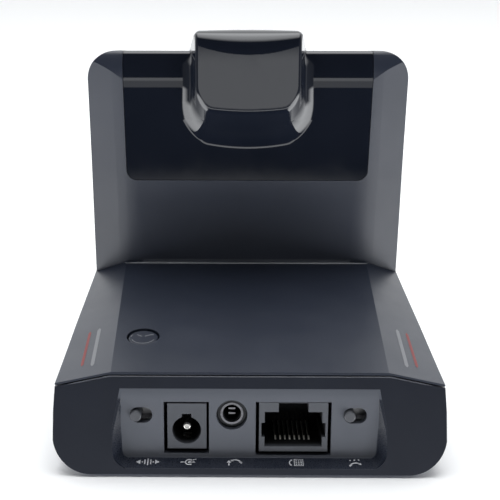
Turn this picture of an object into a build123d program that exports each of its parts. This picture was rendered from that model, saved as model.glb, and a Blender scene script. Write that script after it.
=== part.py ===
from build123d import *
import os, math

# Desk charging base of a cordless headset: a wedge-shaped foot with a connector
# bay in its rear face and an upright that carries the headset cradle.
# Working axes: +Z up, +Y to the rear (connector side), X across.
# While modelling, y = 0 is the bottom edge of the rear face and z = 0 is the
# underside of the shell; place() moves everything to the final frame, whose
# origin is the centre of the footprint on the table.

# ----------------------------------------------------------------- dimensions
FOOT_H = 0.6            # rubber feet stand this far below the shell
Y_SHIFT = 38.86         # half of the overall depth, to centre the footprint
WALL = 2.2              # wall of the outer shells
HALF_W = 40.9           # half width of the rear face
DEPTH = 78.0            # rear bottom edge to front bottom edge
REAR_TILT = 0.234       # rear face leans forward this much per mm of height
REAR_TOP = 20.6         # height of the rear edge of the foot's top
FOOT_SLOPE = 0.2024     # rise of the foot's top towards the upright
CREASE_Y = -58.9        # where the foot's top meets the upright
LEAN = math.atan(0.186) # the upright leans to the rear
BEND_R = 13.5           # radius of the bend near the top of the upright
TOP_Z = 85.6            # top edge of the upright
FRONT_LEAN = 0.1763     # front face leans to the rear
CORNER_R = 7.0          # top corners of the upright
BAND_X = 30.0           # side bands of the upright start here
BAND_B = math.radians(12)
SEAM_Z = 19.9           # seam between base and top shell at the rear
SEAM_KINK = 29.3
SEAM_DROP = 0.196
SEAM_GAP = 0.10
SPLIT = 5.2             # depth of the front cover
GLOSS_X = 30.3          # glossy insert, half width
GLOSS_Z = 53.6          # glossy insert, lower edge
GLOSS_T = 1.2
GLOSS_GAP = 0.14
PANEL_Y = -3.75         # vertical connector panel
PANEL_T = 1.6
BAY_TOP = 17.3          # the panel's moulding reaches this high on the rear face
BROW_R = 8.0            # soft bend from the rear face into the panel
PCB_Z = 15.2            # underside of the main board
PCB_T = 1.6
# connectors on the panel (x, z) and sizes
DC_X, DC_Z, DC_R = 13.12, 8.22, 3.03
AUX_X, AUX_Z = 3.67, 11.64
MOD_X0, MOD_X1 = -16.36, -2.02
MOD_Z0, MOD_Z1 = 3.55, 14.35
SLOT_Z = 11.57
SLOT_L = (20.24, 24.95)
SLOT_R = (-24.47, -19.57)
SLOT_H = 3.42
KNOB_R = 1.19
BTN_X, BTN_Y, BTN_HOLE_R, BTN_R = 23.42, -19.7, 3.65, 3.3
# cradle
POD_Y = -45.0           # rear face of the bulge
POD_TOP = 90.6
POD_FRONT = -56.2       # the roof of the bulge ends over the cradle's back wall
POCKET = (10.2, 58.6)   # half width and floor height of the headset pocket


def place(s):
    return Pos(0, Y_SHIFT, FOOT_H) * s


def px(pts, x0, x1):
    "polygon in (y, z), extruded along x"
    return extrude(Plane.YZ.offset(x0) * Polygon(*pts, align=None), amount=x1 - x0, dir=(1, 0, 0))


def py(pts, y0, y1):
    "polygon in (x, z), extruded along y"
    return extrude(Plane.XZ.offset(-y0) * Polygon(*pts, align=None), amount=y1 - y0, dir=(0, 1, 0))


def pz(pts, z0, z1):
    return extrude(Plane.XY.offset(z0) * Polygon(*pts, align=None), amount=z1 - z0, dir=(0, 0, 1))


def sk_y(sk, y0, y1):
    return extrude(Plane.XZ.offset(-y0) * sk, amount=y1 - y0, dir=(0, 1, 0))


def sk_x(sk, x0, x1):
    return extrude(Plane.YZ.offset(x0) * sk, amount=x1 - x0, dir=(1, 0, 0))


def box(x0, x1, y0, y1, z0, z1):
    return Pos((x0 + x1) / 2, (y0 + y1) / 2, (z0 + z1) / 2) * Box(x1 - x0, y1 - y0, z1 - z0)


def cyl_y(x, z, r, y0, y1):
    return Pos(x, (y0 + y1) / 2, z) * Rot(90, 0, 0) * Cylinder(r, y1 - y0)


def cyl_z(x, y, r, z0, z1):
    return Pos(x, y, (z0 + z1) / 2) * Cylinder(r, z1 - z0)


def rfillet(part, edges, r):
    "round edges; the radius is halved where the full one can't be built"
    edges = list(edges)
    if not edges:
        return part
    for k in (1.0, 0.6, 0.3):
        try:
            out = fillet(edges, r * k)
            if out.is_valid:
                return out
        except Exception:
            pass
    return part


def one(s):
    "largest solid of a result"
    ss = s.solids()
    if len(ss) == 1:
        return Part() + ss[0]
    big = max(ss, key=lambda q: q.volume)
    return Part() + big


def top_z(y):
    return REAR_TOP + FOOT_SLOPE * (-(y) - 4.8)


def front_y(z):
    return -DEPTH + FRONT_LEAN * z


def p1_y(z):
    return CREASE_Y + math.tan(LEAN) * (z - 31.55)


# ----------------------------------------------------------------- outer form
def foot_solid(off=0.0):
    ztf = (REAR_TOP + FOOT_SLOPE * (DEPTH - 4.8)) / (1 + FOOT_SLOPE * FRONT_LEAN)
    prof = Polygon((0, 0), (-REAR_TILT * REAR_TOP, REAR_TOP), (front_y(ztf), ztf), (-DEPTH, 0), align=None)
    if off:
        prof = offset(prof, amount=-off, kind=Kind.INTERSECTION)
    a = sk_x(prof, -50, 50)
    sec = Polygon((-HALF_W, 0), (HALF_W, 0), (HALF_W, 11), (HALF_W - 0.5, 19), (HALF_W - 1.3, 40),
                  (-HALF_W + 1.3, 40), (-HALF_W + 0.5, 19), (-HALF_W, 11), align=None)
    low = [v for v in sec.vertices() if v.Y < 0.1]
    sec = fillet(low, 8.0)
    if off:
        sec = offset(sec, amount=-off, kind=Kind.INTERSECTION)
        # the offset keeps the bottom at +off
    b = sk_y(sec, -90, 10)
    plan = Polygon((-HALF_W, 3), (HALF_W, 3), (HALF_W - 1.5, -DEPTH), (-HALF_W + 1.5, -DEPTH), align=None)
    if off:
        plan = offset(plan, amount=-off, kind=Kind.INTERSECTION)
    c = extrude(Plane.XY.offset(-5) * plan, amount=100, dir=(0, 0, 1))
    body = a & b & c
    # side bands of the foot's top: gentle at the rear, steeper at the upright
    for sgn in (1, -1):
        secs = []
        for y in (8.0, -86.0):
            t = (y + 6.0) / (CREASE_Y + 6.0)
            xr = 28.9 + (31.3 - 28.9) * t
            s = 0.205 + (0.459 - 0.205) * t
            zr = top_z(y) - off * 1.02
            pts = [(sgn * xr, zr), (sgn * 55, zr - s * (55 - xr)), (sgn * 55, zr + 20), (sgn * xr, zr + 20)]
            secs.append(Plane.XZ.offset(-y) * Polygon(*pts, align=None))
        body -= loft(secs, ruled=True)
    return one(body)


def upright_profile(off=0.0):
    cy = -50.31 - BEND_R
    cz = 78.97
    a0 = -LEAN
    a1 = math.radians(25)
    am = (a0 + a1) / 2
    B = (cy + BEND_R * math.cos(a0), cz + BEND_R * math.sin(a0))
    M = (cy + BEND_R * math.cos(am), cz + BEND_R * math.sin(am))
    C = (cy + BEND_R * math.cos(a1), cz + BEND_R * math.sin(a1))
    zb = 14.0
    A = (B[0] - math.tan(LEAN) * (B[1] - zb), zb)
    E = (front_y(TOP_Z), TOP_Z)
    F = (front_y(zb), zb)
    if off:
        R = BEND_R - off
        zt = TOP_Z - off
        zb += off
        B = (cy + R * math.cos(a0), cz + R * math.sin(a0))
        A = (B[0] - math.tan(LEAN) * (B[1] - zb), zb)
        cut = math.asin((zt - cz) / R)
        ae = min(a1, cut)
        M = (cy + R * math.cos((a0 + ae) / 2), cz + R * math.sin((a0 + ae) / 2))
        C = (cy + R * math.cos(ae), cz + R * math.sin(ae))
        fo = off / math.cos(math.atan(FRONT_LEAN))
        E = (front_y(zt) + fo, zt)
        F = (front_y(zb) + fo, zb)
        edges = [Line(A, B), ThreePointArc(B, M, C)]
        if cut > a1 + 0.001:
            D = (C[0] - math.tan(a1) * (zt - C[1]), zt)
            edges.append(Line(C, D))
            C = D
        edges += [Line(C, E), Line(E, F), Line(F, A)]
        return make_face(edges)
    # rounded top rear edge, starting where the large bend ends
    rr = (TOP_Z - C[1]) / (1 - math.sin(a1))
    oc = (C[0] - rr * math.cos(a1), C[1] - rr * math.sin(a1))
    ah = (a1 + math.pi / 2) / 2
    D = (oc[0], TOP_Z)
    DM = (oc[0] + rr * math.cos(ah), oc[1] + rr * math.sin(ah))
    # rounded top front edge
    rf = 1.2
    ph = math.atan(FRONT_LEAN)
    tl = rf / math.tan((math.pi / 2 + ph) / 2)
    E1 = (E[0] + tl, TOP_Z)
    E2 = (E[0] - tl * math.sin(ph), TOP_Z - tl * math.cos(ph))
    fc = (E1[0], TOP_Z - rf)
    am2 = math.pi / 2 + (math.pi / 2 - ph) / 2
    EM = (fc[0] + rf * math.cos(am2), fc[1] + rf * math.sin(am2))
    edges = [Line(A, B), ThreePointArc(B, M, C), ThreePointArc(C, DM, D), Line(D, E1), ThreePointArc(E1, EM, E2), Line(E2, F), Line(F, A)]
    return make_face(edges)


def upright_outline(off=0.0):
    pts = [(-39.7, 8), (39.7, 8), (39.6, 27), (39.15, 60), (38.95, TOP_Z), (-38.95, TOP_Z), (-39.15, 60), (-39.6, 27)]
    sk = Polygon(*pts, align=None)
    vs = [v for v in sk.vertices() if v.Y > TOP_Z - 0.01]
    sk = fillet(vs, CORNER_R)
    if off:
        sk = offset(sk, amount=-off, kind=Kind.INTERSECTION)
    return sk


def upright_solid(off=0.0):
    body = sk_x(upright_profile(off), -50, 50) & sk_y(upright_outline(off), -90, 0)
    # side bands: the rear face turns outwards beyond BAND_X, with a soft ridge
    for sgn in (1, -1):
        L = 3.0
        c, s = math.cos(BAND_B), math.sin(BAND_B)
        R = L / math.tan(BAND_B / 2)
        p0 = (BAND_X - L, 0.0)
        p2 = (BAND_X + L * c, -L * s)
        pm = (p0[0] + R * math.sin(BAND_B / 2), -R * (1 - math.cos(BAND_B / 2)))
        p3 = (BAND_X + 22 * c, -22 * s)
        p4 = (p3[0], 12)
        p5 = (p0[0], 12)
        q = [(sgn * u, v - off) for u, v in (p0, pm, p2, p3, p4, p5)]
        face = make_face([ThreePointArc(q[0], q[1], q[2]), Line(q[2], q[3]), Line(q[3], q[4]), Line(q[4], q[5]), Line(q[5], q[0])])
        pl = Plane(origin=(0, p1_y(31.55), 31.55), x_dir=(1, 0, 0), z_dir=(0, math.sin(LEAN), math.cos(LEAN)))
        w = extrude(pl.offset(-60) * face, amount=160, dir=(0, math.sin(LEAN), math.cos(LEAN)))
        body -= w
    return one(body)


def body_solid(off=0.0):
    b = foot_solid(off) + upright_solid(off)
    return one(b)


# ----------------------------------------------------------------- bulge behind the cradle
def pod_solid(off=0.0):
    "closed outer form of the bulge, from the rear face forward to the front cover"
    yb = p1_y(63.6)
    r = 6.2
    A = (yb - 1.6, 61.9)
    B = (POD_Y - 0.5, 70.6)
    B2 = (POD_Y, 72.0)
    C = (POD_Y, POD_TOP - r - 0.6)
    D = (POD_Y - r - 0.4, POD_TOP)
    cm = (POD_Y - r + r * math.cos(math.radians(45)) - 0.1, POD_TOP - r - 0.3 + r * math.sin(math.radians(45)) + 0.05)
    E = ((-66.0 if off else POD_FRONT), POD_TOP - 0.2)
    face = make_face([Line(A, B), Line(B, B2), Line(B2, C), ThreePointArc(C, cm, D), Line(D, E), Line(E, (E[0], 61.9)), Line((E[0], 61.9), A)])
    if off:
        face = offset(face, amount=-off, kind=Kind.INTERSECTION)
    s = sk_x(face, -20, 20)
    # front outline: drafted sides, round lower corners
    pts = [(-12.9, 63.5), (12.9, 63.5), (14.7, 68.0), (14.5, 80), (14.05, 85.75), (12.75, POD_TOP - 0.25), (0, POD_TOP + 0.15),
           (-12.75, POD_TOP - 0.25), (-14.05, 85.75), (-14.5, 80), (-14.7, 68.0)]
    sk = Polygon(*pts, align=None)
    vs = [v for v in sk.vertices() if abs(abs(v.X) - 12.75) < 0.01]
    sk = fillet(vs, 1.1)
    vs = [v for v in sk.vertices() if abs(v.Y - 68.0) < 0.01 or abs(v.Y - 63.5) < 0.01]
    sk = fillet(vs, 3.0)
    if off:
        sk = offset(sk, amount=-off, kind=Kind.INTERSECTION)
    s = s & sk_y(sk, -70, -40)
    # plan taper towards the rear
    plan = Polygon((-12.45, POD_Y + 0.01 - off), (12.45, POD_Y + 0.01 - off), (15.6, -62), (-15.6, -62), align=None)
    if off:
        plan = offset(plan, amount=-off, kind=Kind.INTERSECTION)
    s = s & extrude(Plane.XY.offset(55) * plan, amount=45, dir=(0, 0, 1))
    return one(s)


parts = {}

outer = body_solid(0)
inner = body_solid(WALL)

# rounded corners where the rear face meets the sides
cand = []
for e in outer.edges():
    c = e.center()
    bb = e.bounding_box()
    if abs(c.X) > 39.5 and c.Y > -4.9 and bb.size.Z > 8 and bb.size.Y < 6:
        cand.append(e)
outer = rfillet(outer, cand, 2.0)
# small radius along the crease between foot and upright
cand = []
for e in outer.edges():
    c = e.center()
    bb = e.bounding_box()
    if bb.size.X > 40 and abs(c.Y - CREASE_Y) < 0.6 and abs(c.Z - 31.5) < 0.8:
        cand.append(e)
outer = rfillet(outer, cand, 0.8)

shell = outer - inner

front_half = px([(-110, -10), (front_y(-10) + SPLIT, -10), (front_y(110) + SPLIT, 110), (-110, 110)], -60, 60)
rear_half = px([(30, -10), (front_y(-10) + SPLIT + 0.06, -10), (front_y(110) + SPLIT + 0.06, 110), (30, 110)], -60, 60)


def seam_below(dz, ext=60):
    zs = SEAM_Z - SEAM_DROP * (ext - SEAM_KINK)
    return py([(-ext, -20), (ext, -20), (ext, zs + dz), (SEAM_KINK, SEAM_Z + dz), (-SEAM_KINK, SEAM_Z + dz), (-ext, zs + dz)], -120, 40)


def seam_above(dz, ext=60):
    zs = SEAM_Z - SEAM_DROP * (ext - SEAM_KINK)
    return py([(-ext, 120), (ext, 120), (ext, zs + dz), (SEAM_KINK, SEAM_Z + dz), (-SEAM_KINK, SEAM_Z + dz), (-ext, zs + dz)], -120, 40)


# solid blocks of the three outer mouldings, with rounded seam edges
blk_base = one(outer & rear_half & seam_below(-SEAM_GAP))
blk_top = one(outer & rear_half & seam_above(SEAM_GAP))
blk_front = one(outer & front_half)


def seam_edges(blk, dz):
    out = []
    for e in blk.edges():
        ok = True
        for t in (0.1, 0.5, 0.9):
            p = e.position_at(t)
            zs = SEAM_Z + dz - SEAM_DROP * max(0, abs(p.X) - SEAM_KINK)
            if abs(p.Z - zs) > 0.03:
                ok = False
                break
            on_split = abs(p.Y - (front_y(p.Z) + SPLIT + 0.06)) < 0.05
            if on_split:
                ok = False
                break
        if ok and e.length > 0.3:
            m = e.position_at(0.5)
            # leave out the kink lines that run along y inside the seam face
            if abs(abs(m.X) - SEAM_KINK) < 0.2 and e.bounding_box().size.Y > 20:
                continue
            out.append(e)
    return out


blk_base = rfillet(blk_base, seam_edges(blk_base, -SEAM_GAP), 0.7)
blk_top = rfillet(blk_top, seam_edges(blk_top, SEAM_GAP), 0.7)

# ----------------------------------------------------------------- base shell
base = one(blk_base - inner)
# inner lip that closes the seam
lip = (body_solid(WALL + 0.05) - body_solid(WALL + 1.0)) & seam_below(1.3) & seam_above(-2.2) & \
    px([(30, -10), (front_y(-10) + SPLIT + 1.5, -10), (front_y(110) + SPLIT + 1.5, 110), (30, 110)], -60, 60)
ring = (body_solid(WALL - 0.6) - body_solid(WALL + 1.0)) & seam_below(-0.4) & seam_above(-2.2) & \
    px([(30, -10), (front_y(-10) + SPLIT + 1.5, -10), (front_y(110) + SPLIT + 1.5, 110), (30, 110)], -60, 60)
core = box(-37.2, 37.2, -80, -8.4, -5, 60)
base = one(base + ring + (lip - core))


# connector bay: outline on the rear face and the sunk tray
def bay_sketch(grow=0.0):
    pts = [(-27.0, BAY_TOP), (27.0, BAY_TOP), (28.5, 9.5), (28.45, 1.15), (-28.45, 1.15), (-28.5, 9.5)]
    sk = Polygon(*pts, align=None)
    vs = [v for v in sk.vertices() if v.Y < 1.3]
    sk = fillet(vs, 3.6)
    if grow:
        sk = offset(sk, amount=grow, kind=Kind.INTERSECTION)
    return sk


bay_cut = sk_y(bay_sketch(0.0), -8.5, 6)
plug = one(outer & sk_y(bay_sketch(-0.012), PANEL_Y - PANEL_T, 6))


def tray_section(y, pts, r):
    sk = Polygon(*pts, align=None)
    vs = [v for v in sk.vertices() if v.Y < 3.0]
    return Plane.XZ.offset(-y) * fillet(vs, r)


tray = [
    tray_section(PANEL_Y, [(-26.6, 16.9), (26.6, 16.9), (26.7, 9), (26.45, 2.2), (-26.45, 2.2), (-26.7, 9)], 1.3),
    tray_section(1.0, [(-30.8, 16.9), (30.8, 16.9), (31.0, 9), (29.2, 0.96), (-29.2, 0.96), (-31.0, 9)], 4.2),
]
tray_cut = loft(tray, ruled=True)
panel = plug - tray_cut
# the rim left round the sill stays inside the bay outline
panel = one(panel)
brow = []
for e in panel.edges():
    c = e.center()
    if e.bounding_box().size.X > 40 and abs(c.Y - PANEL_Y) < 0.05 and abs(c.Z - 16.03) < 0.2:
        brow.append(e)
panel = rfillet(panel, brow, BROW_R)
print("brow edges", len(brow))
for (a, b) in (SLOT_L, SLOT_R):
    xm = (a + b) / 2
    panel -= sk_y(Pos(xm, SLOT_Z) * SlotOverall(b - a, SLOT_H), PANEL_Y - 3, PANEL_Y + 3)
panel -= box(8.44, 17.89, PANEL_Y - 3, PANEL_Y + 3, 3.02, 14.5)
panel -= box(-17.08, -1.29, PANEL_Y - 3, PANEL_Y + 3, 2.6, 14.53)
panel -= cyl_y(AUX_X, AUX_Z, 3.25, PANEL_Y - 3, PANEL_Y + 3)
panel = one(panel)
base = one(base - bay_cut)

# ----------------------------------------------------------------- pairing button
nz = Vector(0, FOOT_SLOPE, 1).normalized()
btn_z = top_z(BTN_Y)
bpl = Plane(origin=(BTN_X, BTN_Y, btn_z), x_dir=(1, 0, 0), z_dir=tuple(nz))
btn_hole = extrude(bpl.offset(-6) * Circle(BTN_HOLE_R), amount=10)

# ----------------------------------------------------------------- gloss areas
def gloss_sketch(grow, z0=GLOSS_Z, rr=2.6):
    sk = Polygon((-GLOSS_X, z0), (GLOSS_X, z0), (GLOSS_X, 120), (-GLOSS_X, 120), align=None)
    vs = [v for v in sk.vertices() if v.Y < z0 + 0.1]
    sk = fillet(vs, rr)
    if grow:
        sk = offset(sk, amount=grow, kind=Kind.INTERSECTION)
    return sk


skin = one(outer - body_solid(GLOSS_T))
up_rear = rear_half & box(-60, 60, -90, 20, 40, 120)
pocket_layer = outer - body_solid(GLOSS_T + 0.04)
pod = pod_solid(0)
pod_in = pod_solid(1.7)
pod_hole = sk_y(Polygon((-13.1, 65.2), (13.1, 65.2), (13.1, 100), (-13.1, 100), align=None), -70, -40)

rear_panel = skin & sk_y(gloss_sketch(-GLOSS_GAP), -90, 20) & up_rear
rear_bezel = rear_panel + (pod - body_solid(GLOSS_T + 0.04))
rear_bezel = rear_bezel - pod_in
rear_bezel = one(rear_bezel)
fe = []
surf = outer
for e in rear_bezel.edges():
    c = e.center()
    if c.Y > POD_Y - 0.4 and abs(c.X) > 12.0 and e.bounding_box().size.Z > 5:
        fe.append(e)
rear_bezel = rfillet(rear_bezel, fe, 1.0)

# top shell: pocket for the glossy bezel, opening for the bulge, button hole
top = one(blk_top - inner)
top -= (pocket_layer & sk_y(gloss_sketch(0.0), -90, 20) & up_rear)
top -= (pod_hole & box(-60, 60, -90, 20, 40, 120))
top -= btn_hole
# guide collar of the button
collar = extrude(bpl.offset(-4.2) * (Circle(BTN_HOLE_R + 1.1) - Circle(BTN_HOLE_R)), amount=2.4)
top += collar
top = one(top)
# bosses that take the base screws
SCREWS = [(-31.0, -26.5), (31.0, -26.5), (-31.0, -52.0), (31.0, -52.0)]
for (sx, sy) in SCREWS:
    b = cyl_z(sx, sy, 2.9, 11.0, 40) & body_solid(WALL - 0.5)
    hole = cyl_z(sx, sy, 1.12, 10, 20.5)
    top += (b - hole)
top = one(top)

# ----------------------------------------------------------------- front cover
front = one(blk_front - inner)
front_gloss_z = 22.0
fr_layer = outer - body_solid(GLOSS_T + 0.04)
front_cut = front_half & box(-60, 60, -90, 20, 20, 120)
front -= (fr_layer & sk_y(gloss_sketch(0.0, front_gloss_z, 4.0), -90, 20) & front_cut)
front_panel = skin & sk_y(gloss_sketch(-GLOSS_GAP, front_gloss_z, 4.0), -90, 20) & front_cut

# headset cradle: a tray let into the front of the upright, open to the front and top
CR_W = 12.6
lean_f = math.atan(FRONT_LEAN)


def fslab(z0, z1, d0, d1, hw, r=2.5):
    "block behind the front face: depths d0..d1 from it, half width hw, lower corners rounded"
    s = px([(front_y(z0) + d0, z0), (front_y(z1) + d0, z1), (front_y(z1) + d1, z1), (front_y(z0) + d1, z0)], -hw, hw)
    sk = Polygon((-hw, z0), (hw, z0), (hw, z1), (-hw, z1), align=None)
    vs = [v for v in sk.vertices() if v.Y < z0 + 0.01]
    sk = fillet(vs, r)
    return s & sk_y(sk, -100, 0)


cradle_env = fslab(54.6, 89.9, -1.4, 7.6, 13.2, 3.0)
cr_out = fslab(55.0, 89.6, -1.2, 7.4, CR_W, 3.0)
cr_pocket = fslab(POCKET[1], 95, -5, 5.8, POCKET[0], 4.0)
cradle = cr_out - cr_pocket
cradle = one(cradle)
# front opening through cover and front panel, behind it the tray
front -= fslab(54.75, 95, -3, 9, CR_W + 0.2, 3.1)
front_panel -= fslab(54.75, 95, -3, 9, CR_W + 0.2, 3.1)
front = one(front)
front_panel = one(front_panel)
tray_room = fslab(54.75, 89.75, -3, 7.6, CR_W + 0.2, 3.1)
rear_bezel -= tray_room
rear_bezel = one(rear_bezel)
top -= tray_room
top = one(top)

# charging pins: two round holes in the pocket floor
PIN_X = 4.5
PIN_D = 3.4             # depth of the pins behind the front face
pin_y = front_y(POCKET[1]) + PIN_D
for sx in (-PIN_X, PIN_X):
    cradle -= cyl_z(sx, pin_y, 0.95, 50, POCKET[1] + 1)
cradle = one(cradle)

# ----------------------------------------------------------------- base details
FEET = [(-27.5, -11.0), (27.5, -11.0), (-27.5, -67.0), (27.5, -67.0)]
for (fx, fy) in FEET:
    base -= cyl_z(fx, fy, 4.2, -1, 0.6)
for (sx, sy) in SCREWS:
    base -= cyl_z(sx, sy, 2.6, -1, 1.2)
    post = cyl_z(sx, sy, 3.6, 1.4, 10.9)
    base += post & body_solid(0.4)
    base -= cyl_z(sx, sy, 2.6, -1, 8.6)
    base -= cyl_z(sx, sy, 1.45, -1, 12)
# windows for the dial and the two volume sliders in the underside
DIAL = (0.0, -44.0)
SL1 = (-19.0, -41.0)
SL2 = (19.0, -41.0)
DIAL_R = 5.0
SL_TRAVEL = 6.0
base -= cyl_z(DIAL[0], DIAL[1], DIAL_R + 0.35, -1, 4)
for (cx, cy) in (SL1, SL2):
    base -= box(cx - 5.2, cx + 5.2, cy - 1.6, cy + 1.6, -1, 4)
# recess of the rating label
base -= box(-22, 22, -33, -19, -1, 0.25)
base = one(base)

# ----------------------------------------------------------------- boards and electronics
BOARD_SCREWS = [(-33.4, -39.5), (33.4, -39.5), (0.0, -52.6)]
pcb = box(-36.2, 36.2, -55.5, -7.0, PCB_Z, PCB_Z + PCB_T)
for (sx, sy) in SCREWS:
    pcb -= cyl_z(sx, sy, 4.0, 10, 20)
pcb -= box(-40, -28, -12.5, -5, 10, 20)
pcb -= box(28, 40, -9.5, -5, 10, 20)
for (sx, sy) in BOARD_SCREWS:
    pcb -= cyl_z(sx, sy, 1.15, 10, 20)
    base += (cyl_z(sx, sy, 2.6, 1.4, PCB_Z) - cyl_z(sx, sy, 0.9, 6, 20)) & body_solid(0.4)
base = one(base)
pcb = one(pcb)
# copper side of the board stays clear of the sloping top
parts["main_pcb"] = pcb

# modular jack: box with a stepped opening and the latch slot at the top
jb = box(MOD_X0, MOD_X1, PANEL_Y - 15.5, PANEL_Y - 0.1, MOD_Z0, PCB_Z)
mx = (MOD_X0 + MOD_X1) / 2
JY0 = PANEL_Y - 13.3
jb -= box(mx - 6.02, mx + 6.02, JY0, PANEL_Y + 1, 4.63, 12.32)
jb -= box(mx - 6.7, mx + 6.7, JY0, PANEL_Y + 1, 6.77, 9.9)
jb -= box(mx - 3.1, mx + 3.1, JY0, PANEL_Y + 1, 12.0, 14.3)
jb -= box(MOD_X0 - 1, MOD_X1 + 1, PANEL_Y - PANEL_T - 0.15, PANEL_Y + 1, 14.40, 16)
jb = one(jb)
parts["modular_jack_body"] = jb
cts = None
for i in range(8):
    cx = mx + (i - 3.5) * 1.016
    # spring wire: rises from the floor at the back, bows forward and down
    wire = box(cx - 0.16, cx + 0.16, JY0 + 0.02, PANEL_Y - 3.6, 4.72, 5.02)
    y0, z0 = PANEL_Y - 3.6, 4.72
    ramp = px([(y0, 4.72), (y0 + 0.32, 4.80), (JY0 + 1.6, 7.6), (JY0 + 1.3, 7.4), (y0 - 0.3, 4.95)], cx - 0.16, cx + 0.16)
    c = wire + ramp
    cts = c if cts is None else cts + c
parts["modular_jack_contacts"] = cts

# power jack: square-fronted body, centre pin, side spring
db = box(8.97, 17.13, PANEL_Y - 13.0, PANEL_Y - 0.05, 4.14, PCB_Z)
db -= box(8, 18, PANEL_Y - 4.0, PANEL_Y + 1, 14.13, 16)
db -= cyl_y(DC_X, DC_Z, DC_R, PANEL_Y - 9.5, PANEL_Y + 1)
db -= box(DC_X - 1.0, DC_X + 1.0, PANEL_Y - 9.5, PANEL_Y + 1, DC_Z + 2.0, DC_Z + 3.6)
db = one(db)
parts["dc_jack_body"] = db
pin = cyl_y(DC_X, DC_Z, 0.95, PANEL_Y - 9.5, PANEL_Y - 1.9)
pin = rfillet(pin, [e for e in pin.edges() if e.center().Y > PANEL_Y - 2.2], 0.5)
parts["dc_jack_pin"] = pin
parts["dc_jack_spring"] = px([(PANEL_Y - 9.4, DC_Z - 2.85), (PANEL_Y - 2.6, DC_Z - 2.85), (PANEL_Y - 4.6, DC_Z - 2.2), (PANEL_Y - 5.2, DC_Z - 2.2), (PANEL_Y - 9.4, DC_Z - 2.65)], DC_X - 0.9, DC_X + 0.9)

# small round socket: body, metal ring at its mouth, two flat blades inside
AY = PANEL_Y - 1.1
ab = box(AUX_X - 3.4, AUX_X + 3.4, PANEL_Y - 14.0, PANEL_Y - PANEL_T - 0.1, AUX_Z - 3.5, PCB_Z)
ab += cyl_y(AUX_X, AUX_Z, 2.95, PANEL_Y - 6, AY)
ab -= cyl_y(AUX_X, AUX_Z, 1.8, PANEL_Y - 12.6, PANEL_Y + 1)
ab -= cyl_y(AUX_X, AUX_Z, 2.42, AY - 0.8, PANEL_Y + 1)
ab = one(ab)
parts["aux_jack_body"] = ab
ring_m = cyl_y(AUX_X, AUX_Z, 2.40, AY - 0.79, AY + 0.25) - cyl_y(AUX_X, AUX_Z, 1.95, AY - 1, AY + 1)
parts["aux_jack_ring"] = one(ring_m)
ac = box(AUX_X - 0.72, AUX_X + 0.72, PANEL_Y - 12.5, PANEL_Y - 2.4, AUX_Z + 0.36, AUX_Z + 0.72) + \
    box(AUX_X - 0.72, AUX_X + 0.72, PANEL_Y - 12.5, PANEL_Y - 2.4, AUX_Z - 0.72, AUX_Z - 0.36)
parts["aux_jack_contacts"] = ac


# slide switches behind the panel: metal housing on the board, knob through the slot
def slide_body(a, b):
    xm = (a + b) / 2
    s = box(xm - 4.6, xm + 4.6, PANEL_Y - PANEL_T - 5.2, PANEL_Y - PANEL_T - 0.5, SLOT_Z - 2.3, PCB_Z)
    s -= box(xm - 3.2, xm + 3.2, PANEL_Y - PANEL_T - 3.0, PANEL_Y, SLOT_Z - 1.6, SLOT_Z + 1.6)
    return one(s)


parts["bandwidth_switch_body"] = slide_body(*SLOT_L)
parts["answer_switch_body"] = slide_body(*SLOT_R)
KN_L = SLOT_L[1] - KNOB_R - 0.06
KN_R = SLOT_R[1] - KNOB_R - 0.06


def knob(x):
    k = cyl_y(x, SLOT_Z, KNOB_R, PANEL_Y - PANEL_T - 1.2, PANEL_Y + 0.9)
    k = rfillet(k, [e for e in k.edges() if e.center().Y > PANEL_Y + 0.8], 0.25)
    return one(k + box(x - 1.0, x + 1.0, PANEL_Y - PANEL_T - 2.7, PANEL_Y - PANEL_T - 0.9, SLOT_Z - 1.3, SLOT_Z + 1.3))


parts["bandwidth_knob"] = knob(KN_L)
parts["auto_answer_knob"] = knob(KN_R)
KNOB_TRAVEL = (SLOT_L[1] - SLOT_L[0]) - 2 * KNOB_R - 0.12

# pairing button and its tact switch
bsk = Circle(BTN_R)
cap = extrude(bpl.offset(-1.9) * Circle(BTN_R), amount=1.6)
cap = rfillet(cap, [e for e in cap.edges() if (e.center() - Vector(BTN_X, BTN_Y, btn_z)).dot(nz) > -0.4], 0.3)
stem_top = Vector(BTN_X, BTN_Y, btn_z) - nz * 1.8
TACT_Z1 = PCB_Z + PCB_T + 2.6
bx, by = stem_top.X, stem_top.Y
cap = cap + (cyl_z(BTN_X, BTN_Y - 0.2, 1.3, TACT_Z1 + 0.75, btn_z - 1.5))
# two small guide wings that keep the cap in its collar
cap = one(cap)
parts["pairing_button"] = cap
tact = box(BTN_X - 3.0, BTN_X + 3.0, BTN_Y - 3.2, BTN_Y + 2.8, PCB_Z + PCB_T, PCB_Z + PCB_T + 1.9) + \
    cyl_z(BTN_X, BTN_Y - 0.2, 1.5, PCB_Z + PCB_T + 1.8, TACT_Z1)
parts["pairing_switch"] = one(tact)

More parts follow.
